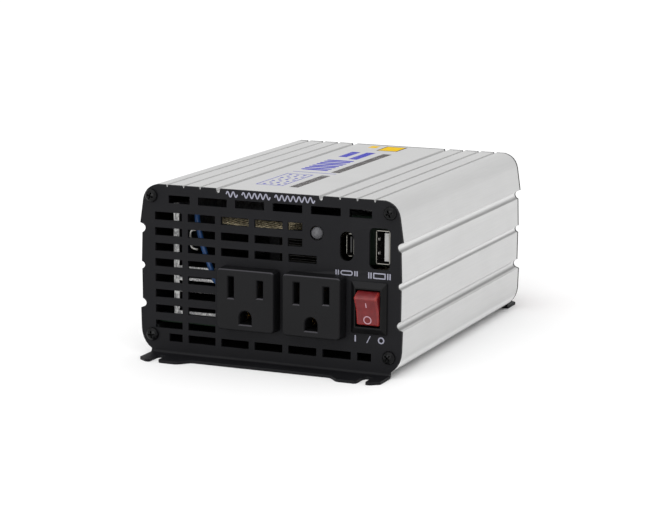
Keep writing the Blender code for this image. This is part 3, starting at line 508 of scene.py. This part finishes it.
def lathe(name, profile, plane, steps=48):
    """A profile of (radius, height) points turned about the plane's normal."""
    bm = bmesh.new()
    rings = []
    for radius, height in profile:
        if radius < 1e-6:
            rings.append([bm.verts.new((0, 0, height))])
        else:
            rings.append([bm.verts.new((x, y, height)) for x, y in ring(0, 0, radius, steps)])
    for a, b in zip(rings, rings[1:]):
        for i in range(steps):
            corners = [a[i % len(a)], a[(i + 1) % len(a)], b[(i + 1) % len(b)], b[i % len(b)]]
            bm.faces.new(list(dict.fromkeys(corners)))
    bmesh.ops.transform(bm, matrix=plane, verts=bm.verts)
    return from_bmesh(name, bm)


def loft(name, sections):
    """A closed skin over sections of equal point counts."""
    bm = bmesh.new()
    rings = [[bm.verts.new(point) for point in section] for section in sections]
    count = len(sections[0])
    for near, far in zip(rings, rings[1:]):
        for i in range(count):
            bm.faces.new((near[i], near[(i + 1) % count], far[(i + 1) % count], far[i]))
    bm.faces.new(rings[0])
    bm.faces.new(rings[-1][::-1])
    return from_bmesh(name, bm)


def smooth_route(knots, count):
    """Evenly many points on one smooth curve through the knots."""
    knots = [Vector(k) for k in knots]
    padded = [2 * knots[0] - knots[1], *knots, 2 * knots[-1] - knots[-2]]
    points = []
    for i in range(count):
        place = i * (len(knots) - 1) / (count - 1)
        k = min(int(place), len(knots) - 2)
        t = place - k
        a, b, c, d = padded[k : k + 4]
        points.append((2 * b + (c - a) * t + (2 * a - 5 * b + 4 * c - d) * t * t
                       + (3 * b - a - 3 * c + d) * t**3) / 2)
    return points


def tube(name, points, radius, sides=10):
    """A round tube along the points."""
    data = bpy.data.curves.new(name, "CURVE")
    data.dimensions = "3D"
    data.bevel_depth = radius
    data.bevel_resolution = max(0, sides // 2 - 2)
    data.use_fill_caps = True
    spline = data.splines.new("POLY")
    spline.points.add(len(points) - 1)
    for slot, point in zip(spline.points, points):
        slot.co = (*point, 1)
    curve = link(name, data)
    mesh = evaluated_mesh(curve)
    bpy.data.objects.remove(curve)
    return link(name, mesh)


def joined(name, pieces):
    """Several pieces as one object."""
    bm = bmesh.new()
    for piece in pieces:
        bm.from_mesh(piece.data)
        bpy.data.objects.remove(piece)
    return from_bmesh(name, bm)


def cut(piece, *cutters):
    for cutter in cutters:
        modifier = piece.modifiers.new("cut", "BOOLEAN")
        modifier.operation = "DIFFERENCE"
        modifier.solver = "EXACT"
        modifier.object = cutter
        bake(piece)
        bpy.data.objects.remove(cutter)
    return piece


def rounded_edges(piece, width, segments=2, angle=30.0):
    modifier = piece.modifiers.new("bevel", "BEVEL")
    modifier.width = width
    modifier.segments = segments
    modifier.limit_method = "ANGLE"
    modifier.angle_limit = math.radians(angle)
    modifier.face_strength_mode = "FSTR_ALL"
    return bake(piece)


def show(piece, finish, body="root", stands_for=(), sharp=40.0):
    """Scale a piece to metres, shade it, give it its finish and put it on its CAD body."""
    piece.data.transform(Matrix.Scale(MM, 4))
    piece.data.materials.clear()
    piece.data.materials.append(FINISHES[finish].material)
    piece.data.shade_smooth()
    piece.data.set_sharp_from_angle(angle=math.radians(sharp))
    weighted = piece.modifiers.new("even_shading", "WEIGHTED_NORMAL")
    weighted.keep_sharp = True
    weighted.use_face_influence = True
    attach(piece, body)
    if stands_for:
        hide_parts(*stands_for)
    return piece


def slot_of(node):
    return NODES[node].data.materials[0].name


def welded(node):
    """A CAD node's shape in millimetres, with its flat areas merged."""
    bm = bmesh.new()
    bm.from_mesh(NODES[node].data)
    bmesh.ops.transform(bm, matrix=Matrix.Scale(1 / MM, 4), verts=bm.verts)
    bmesh.ops.remove_doubles(bm, verts=bm.verts, dist=0.002)
    bmesh.ops.dissolve_limit(bm, angle_limit=math.radians(0.5), verts=bm.verts, edges=bm.edges)
    return from_bmesh(node + "_finish", bm)


def refined(node, width=0.0, segments=2, angle=30.0, sharp=40.0):
    """Stand for a CAD node by its own shape with rounded edges."""
    slot = slot_of(node)
    piece = welded(node)
    if width:
        rounded_edges(piece, width, segments, angle)
    return show(piece, slot, NODES[node]["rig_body"], (node,), sharp)


# Studio

AZIMUTH = 22.988
ELEVATION = 10.883
ROLL = 0.299
CAMERA_PLACE = (0.366075, -0.876464, 0.212525)
SENSOR = 36.0
LENS = 123.39
SKY = 0.88
SUN = 0.95
FRONT_POWER = 10.5


def make_camera():
    data = bpy.data.cameras.new("camera")
    data.sensor_width = SENSOR
    data.lens = LENS
    data.clip_end = 20
    camera = link("camera", data)
    camera.location = CAMERA_PLACE
    turn = Matrix.Rotation(math.radians(AZIMUTH), 4, "Z")
    tilt = Matrix.Rotation(math.radians(90 - ELEVATION), 4, "X")
    roll = Matrix.Rotation(math.radians(ROLL), 4, "Z")
    camera.rotation_euler = (turn @ tilt @ roll).to_euler()
    bpy.context.scene.camera = camera


def make_light(name, place, target, size, power):
    data = bpy.data.lights.new(name, "AREA")
    data.shape = "RECTANGLE"
    data.size, data.size_y = size
    data.energy = power
    light = link(name, data)
    light.location = place
    light.rotation_euler = (Vector(place) - Vector(target)).to_track_quat("Z", "Y").to_euler()


def make_studio():
    scene = bpy.context.scene
    scene.view_settings.view_transform = "Standard"
    world = bpy.data.worlds.new("studio")
    world.use_nodes = True
    background = world.node_tree.nodes["Background"]
    background.inputs["Color"].default_value = (1, 1, 1, 1)
    background.inputs["Strength"].default_value = SKY
    scene.world = world
    data = bpy.data.lights.new("key", "SUN")
    data.energy = SUN
    data.angle = math.radians(70)
    key = link("key", data)
    key.rotation_euler = (Vector((0.1, -0.42, 0.9))).to_track_quat("Z", "Y").to_euler()
    make_light("front_softbox", (-0.1, -1.7, 0.3), (0, 0, 0.04), (1.2, 0.9), FRONT_POWER)
    half = 15.0
    floor = bpy.data.meshes.new("floor")
    corners = [(-half, -half, 0), (half, -half, 0), (half, half, 0), (-half, half, 0)]
    floor.from_pydata(corners, [], [(0, 1, 2, 3)])
    floor = link("floor", floor)
    paper = Surface("pale_paper", Roughness=0.9, Specular_IOR_Level=0.0)
    paper.output("Base Color", paper.mix(paper.noise(0.05, 3), (0.92, 0.92, 0.92), (0.95, 0.95, 0.95)))
    floor.data.materials.append(paper.material)


# Case and panels


def make_case():
    refined("enclosure_extrusion", 0.1, 1, 25, 25)
    refined("front_panel", 0.12, 1, 40, 12)
    refined("rear_panel", 0.12, 1, 40, 12)


HEAD_RISE = 1.55
HEAD_HEIGHT = 1.9
SHANK_RADIUS = 1.15
CROSS_LONG = 3.3
CROSS_WIDE = 0.85


def make_screw(node, twist, towards):
    """A pan head with a tapered cross recess. It faces along y, towards -1 or +1."""
    low, high = box_mm(node)
    middle = (low + high) / 2
    radius = (high.x - low.x) / 2
    top = low.y if towards < 0 else high.y
    plane = axes((middle.x, top, middle.z), (-towards, 0, 0), (0, 0, 1))
    length = high.y - low.y
    profile = [*dome(radius, HEAD_RISE, 10), (radius, 0.1 - HEAD_HEIGHT), (radius - 0.12, -HEAD_HEIGHT)]
    profile += [(SHANK_RADIUS, -HEAD_HEIGHT), (SHANK_RADIUS, 0.8 - length), (0, -length)]
    screw = lathe(node + "_finish", profile, plane, 40)
    turned = plane @ Matrix.Rotation(math.radians(twist), 4, "Z")
    arms = []
    for width, height in ((CROSS_LONG, CROSS_WIDE), (CROSS_WIDE, CROSS_LONG)):
        sections = []
        for depth, share in ((0.3, 1.0), (-0.7, 0.86), (-1.5, 0.35)):
            outline = rectangle(0, 0, width * share, height * share)
            sections.append([turned @ Vector((x, y, depth)) for x, y in outline])
        arms.append(loft("arm", sections))
    cut(screw, *arms)
    show(screw, "screw_black", "root", (node,), 35)


def make_screws():
    twists = (38, 12, 64, 30, 8, 50, 71, 22, 15, 40, 66, 81)
    names = [n for n in sorted(NODES) if "_screw_" in n]
    for node, twist in zip(names, twists):
        make_screw(node, twist, -1 if node.startswith("front") else 1)


# Front panel's fittings


def make_outlets():
    for node in ("outlet_left", "outlet_right"):
        refined(node, 0.16, 2, 28, 35)
    refined("switch_housing", 0.12, 2, 20)


ROCKER_TILT = 17.0
ROCKER_VALLEY = 2.8
ROCKER_RIDGE = 3.55
ROCKER_REACH = 5.91


def make_rocker():
    """The rocker with its two generic marks, printed on its two half faces."""
    refined("switch_rocker", 0.2, 3, 14, 50)
    joint = next(j for j in frame["joints"] if j["name"] == "rocker_press")
    pivot = Vector(joint["pos_m"]) / MM
    slope = math.degrees(math.atan2(ROCKER_RIDGE - ROCKER_VALLEY, ROCKER_REACH))
    marks = []
    for side, at in ((1, 2.75), (-1, 3.75)):
        lean = math.radians(ROCKER_TILT + side * slope)
        along = Vector((0, -math.sin(lean), math.cos(lean)))
        tilt = math.radians(ROCKER_TILT)
        valley = pivot + Vector((0, -math.cos(tilt), -math.sin(tilt))) * ROCKER_VALLEY
        plane = axes(valley + along * side * at, (1, 0, 0), along)
        if side > 0:
            outlines = [rectangle(0, 0, 0.42, 2.2, 0.2)]
        else:
            outlines = [ring(0, 0, 1.7, 40), ring(0, 0, 1.3, 40)]
        marks.append(plate("mark", outlines, -0.02, 0.035, plane))
    show(joined("rocker_marks", marks), "ink_white", "rocker")


LED_RADIUS = 2.5
LED_FLANGE = 2.9


def make_led():
    """A frosted 5 mm light: a dome on a short barrel, with a flange behind the panel."""
    low, high = box_mm("status_led")
    middle = (low + high) / 2
    plane = axes((middle.x, low.y, middle.z), (1, 0, 0), (0, 0, 1))
    profile = [*dome(LED_RADIUS, LED_RADIUS, 9), (LED_RADIUS, -7.0)]
    profile += [(LED_FLANGE, -7.1), (LED_FLANGE, -8.0), (0, -8.0)]
    lens = lathe("status_led_finish", profile, plane)
    show(lens, "led_lens", "root", ("status_led",))


WALL = 0.35
DIMPLE_RADIUS = 0.95
DIMPLE_RISE = 0.4


def make_ports():
    """Folded sleeves round their tongues, the larger one with two spring dimples."""
    for port, width in (("a", 0.08), ("c", 0.05)):
        shell = refined(f"usb_{port}_shell", width, 1)
        shell.data.materials[0] = FINISHES[f"sleeve_{port}"].material
    refined("usb_a_tongue", 0.15, 2)
    refined("usb_c_tongue", 0.1, 2)
    shell_low = box_mm("usb_a_shell")[0]
    middle = centre_mm("usb_a_tongue")
    dimple = [(radius, height + DIMPLE_RISE) for radius, height in dome(DIMPLE_RADIUS, DIMPLE_RISE, 15)]
    dimples = []
    for offset in (-2.9, 2.9):
        plane = axes((shell_low.x + WALL, shell_low.y + 2.8, middle.z + offset), (0, 1, 0), (0, 0, 1))
        dimples.append(lathe("dimple", [*dimple, (0, 0)], plane, 20))
    show(joined("usb_a_dimples", dimples), "plated_steel", "root")


# Prints: plain marks with no lettering


def wave(x, y, periods, length, height, width):
    """A sine wave of that many periods, as one stroke."""
    steps = periods * 14
    points = []
    for i in range(steps + 1):
        t = i / steps
        points.append((x + length * t, y + height / 2 * math.sin(2 * math.pi * periods * t)))
    return stroke(points, width)


def make_front_prints():
    """Sine waves over the outlets, a port outline under each port, and I, slash and O for the switch."""
    plane = axes((0, FRONT, 0), (1, 0, 0), (0, 0, 1))
    marks = []
    x, y = -18.4, 68.45
    for periods in (2, 5, 7):
        length = periods * 2.45
        marks.append([wave(x, y, periods, length, 2.1, 0.52)])
        x += length + 2.0
    for node, drop, thick in (("usb_c_shell", 40.8, 2.0), ("usb_a_shell", 40.6, 2.4)):
        px = centre_mm(node).x
        radius = thick / 2 - 0.01 if node == "usb_c_shell" else 0.25
        outer = rectangle(px, drop, 5.2, thick, radius)
        inner = rectangle(px, drop, 4.3, thick - 0.9, max(0.05, radius - 0.45))
        marks.append([outer, inner])
        for side in (-1, 1):
            for step in (0, 1):
                marks.append([rectangle(px + side * (3.5 + 0.95 * step), drop, 0.5, thick)])
    sx = centre_mm("switch_housing").x
    marks.append([rectangle(sx - 5.9, 15.0, 0.6, 2.6, 0.2)])
    marks.append([stroke([(sx - 1.0, 13.6), (sx + 0.4, 16.4)], 0.35)])
    marks.append([ring(sx + 5.0, 15.0, 1.35), ring(sx + 5.0, 15.0, 0.85)])
    plates = [plate("mark", outlines, 0.0, INK, plane) for outlines in marks]
    show(joined("front_prints", plates), "ink_pale")


def dashes(low, high, across, seed, wide=(0.5, 1.5), gap=0.55):
    """A row of short bars of uneven length along y, as plain texture."""
    chance = random.Random(seed)
    bars, y = [], low
    while y < high - wide[1]:
        length = chance.uniform(*wide)
        x0, x1 = across
        bars.append([rectangle((x0 + x1) / 2, y + length / 2, x1 - x0, length)])
        y += length + gap
    return bars


def make_top_prints():
    """Blue, dark and yellow blocks along the middle of the case's top."""
    plane = axes((0, 0, CASE_TOP), (1, 0, 0), (0, 1, 0))
    blue = [[rectangle(-7.65, -43.0, 11.7, 31.6), rectangle(-7.65, -43.0, 11.0, 30.9)]]
    for row in range(7):
        for column in range(3):
            x = -10.9 + 3.2 * column + (0.9 if row % 2 else 0)
            blue.append([ring(x, -56.0 + 4.3 * row, 0.75, 12)])
    blue.append([rectangle(-3.9, -21.3, 19.4, 0.5)])
    for i in range(4):
        y = -14.6 + 8.1 * i
        blue.append([rectangle(-7.3, y + 1.3, 12.2, 2.2, 0.8)])
        blue.append([rectangle(-7.3, y + 5.0, 12.2, 2.2, 0.8)])
    for across, low, high, seed in (((-13.0, -9.2), 26.0, 43.6, 3), ((-6.2, -2.2), 20.8, 43.4, 4)):
        blue += dashes(low, high, across, seed, (0.9, 2.0), 0.5)
    show(joined("top_prints_blue", [plate("mark", o, 0.0, INK, plane) for o in blue]), "ink_blue")
    dark = dashes(-60.0, -25.3, (1.9, 5.7), 1) + dashes(-17.8, 41.8, (2.1, 6.0), 2)
    dark.append([rectangle(-0.2, 57.2, 9.8, 13.4), rectangle(-0.2, 57.2, 8.6, 12.2)])
    show(joined("top_prints_dark", [plate("mark", o, 0.0, INK, plane) for o in dark]), "ink_dark")
    yellow = [[rectangle(-0.2, 57.2, 8.6, 12.2)], [rectangle(-10.0, 60.2, 3.8, 5.6)]]
    show(joined("top_prints_yellow", [plate("mark", o, 0.0, INK, plane) for o in yellow]), "ink_yellow")


# Rear panel's fittings


def make_rear():
    refined("fan_frame", 0.25, 2, 40)
    refined("fan_rotor", 0.12, 1, 30)
    for side in ("positive", "negative"):
        refined(f"terminal_insulator_{side}", 0.25, 2, 30)
        refined(f"terminal_washer_{side}", 0.15, 2, 30)
        refined(f"terminal_knob_{side}", 0.22, 2, 26, 35)
        refined(f"terminal_stud_{side}", 0.15, 1, 30)
    make_polarity_prints()


def make_polarity_prints():
    """A plus and a minus over the terminals, in relief ink."""
    plane = axes((0, REAR, 0), (-1, 0, 0), (0, 0, 1))
    x, z = -centre_mm("terminal_knob_positive").x, 52.0
    marks = [[rectangle(x, z, 4.4, 0.9)]]
    marks += [[rectangle(x, z + side * 1.25, 0.9, 1.6)] for side in (1, -1)]
    marks.append([rectangle(-centre_mm("terminal_knob_negative").x, z, 4.4, 0.9)])
    show(joined("polarity_prints", [plate("mark", o, 0.0, INK, plane) for o in marks]), "ink_pale")


# Inside

FINS = 5
FIN_PITCH = 4.68
FIN_THICK = 1.4
WEB_THICK = 2.4
FIRST_FIN = 0.8
RIB = 0.9
RIB_DEPTH = 0.32


def make_heatsink():
    """The web and its level fins, ribbed along both faces."""
    low, high = box_mm("heatsink")
    edge = low.x + WEB_THICK
    outline = [(low.x, high.z), (low.x, low.z), (edge, low.z)]
    ribs = int((high.x - edge - 1) / RIB)
    for level in range(FINS):
        z = low.z + FIRST_FIN + FIN_PITCH * level
        under, over = [(edge, z)], [(high.x, z + FIN_THICK)]
        for i in range(ribs):
            x = high.x - RIB * (i + 0.5)
            under.insert(1, (x, z + RIB_DEPTH))
            under.insert(1, (x - RIB / 2, z))
            over += [(x, z + FIN_THICK - RIB_DEPTH), (x - RIB / 2, z + FIN_THICK)]
        outline += [*under, (high.x, z), *over, (edge, z + FIN_THICK)]
    outline.append((edge, high.z))
    plane = axes((0, 0, 0), (1, 0, 0), (0, 0, 1))
    sink = plate("heatsink_finish", [outline], -high.y, -low.y, plane)
    show(sink, "heatsink", "root", ("heatsink",), 30)


def row_y(y):
    """A distance behind the front panel's face, as the frame's y."""
    return FRONT + y


STRAND_RADIUS = 0.36
STRAND_LAYERS = ((1, 0.0, 0.0), (6, 0.72, 0.3), (11, 1.4, 0.0))


def make_bundle():
    """The transformer's bare ends: strands that twist round each other along one route."""
    knots = [(-21.0, 44.0, 47.5), (-26.5, 34.0, 51.8), (-31.0, 24.0, 54.2), (-29.0, 17.5, 54.8)]
    knots += [(-22.2, 16.2, 54.5), (-11.8, 16.0, 54.3), (-1.5, 16.0, 54.2), (5.5, 18.0, 54.6)]
    knots += [(10.0, 24.0, 53.6), (15.5, 33.0, 50.6), (21.0, 41.0, 46.5), (22.2, 47.0, 36.0)]
    knots += [(22.0, 48.0, 14.6)]
    line = smooth_route([(x, row_y(y), z) for x, y, z in knots], 90)
    strands = []
    normal = Vector((0, 0, 1))
    frames = []
    for i, point in enumerate(line):
        ahead = (line[min(i + 1, len(line) - 1)] - line[max(i - 1, 0)]).normalized()
        normal = (normal - ahead * normal.dot(ahead)).normalized()
        frames.append((point, normal.copy(), ahead.cross(normal)))
    for count, radius, phase in STRAND_LAYERS:
        for k in range(count):
            path = []
            for i, (point, n, b) in enumerate(frames):
                angle = phase + 2 * math.pi * k / count + 4 * math.pi * i / len(frames)
                spread = radius * (1 + 0.06 * math.sin(0.6 * i + 2 * k))
                path.append(point + n * spread * math.cos(angle) + b * spread * math.sin(angle))
            strands.append(tube("strand", path, STRAND_RADIUS, 8))
    bundle = joined("copper_bundle_finish", strands)
    show(bundle, "copper_wire", "root", ("copper_bundle",), 60)


def make_sensor_lead():
    """A tinned lead that hooks forward from the heatsink, close behind the vents."""
    knots = [(-35.0, 8.0, 43.4), (-37.2, 8.0, 43.8), (-38.2, 8.0, 45.2), (-38.3, 8.0, 48.0)]
    knots += [(-38.2, 8.0, 50.2), (-37.4, 8.2, 51.1), (-36.2, 9.0, 51.3), (-36.4, 14.0, 51.6)]
    knots += [(-40.0, 20.0, 51.0), (-44.3, 21.0, 50.0)]
    line = smooth_route([(x, row_y(y), z) for x, y, z in knots], 60)
    show(tube("sensor_lead", line, 0.5, 10), "plated_steel", "root", (), 60)


SMALL_PARTS = ("power_transistor", "contact_", "switch_spade", "usb_board", "main_board")


def make_inside():
    make_heatsink()
    make_bundle()
    make_sensor_lead()
    refined("transformer_core", 0.4, 2)
    refined("transformer_winding", 0.5, 3, 30, 50)
    refined("filter_choke", 0.6, 2, 30, 60)
    refined("blade_fuse", 0.3, 2)
    for node in sorted(NODES):
        if node.startswith("lead_"):
            refined(node, 0.0, sharp=60)
        elif node.startswith("capacitor_"):
            refined(node, 0.4, 2, 30, 50)
        elif node.startswith(SMALL_PARTS):
            refined(node, 0.12, 1)


def main():
    make_camera()
    make_studio()
    make_case()
    make_screws()
    make_outlets()
    make_rocker()
    make_led()
    make_ports()
    make_front_prints()
    make_top_prints()
    make_rear()
    make_inside()


main()
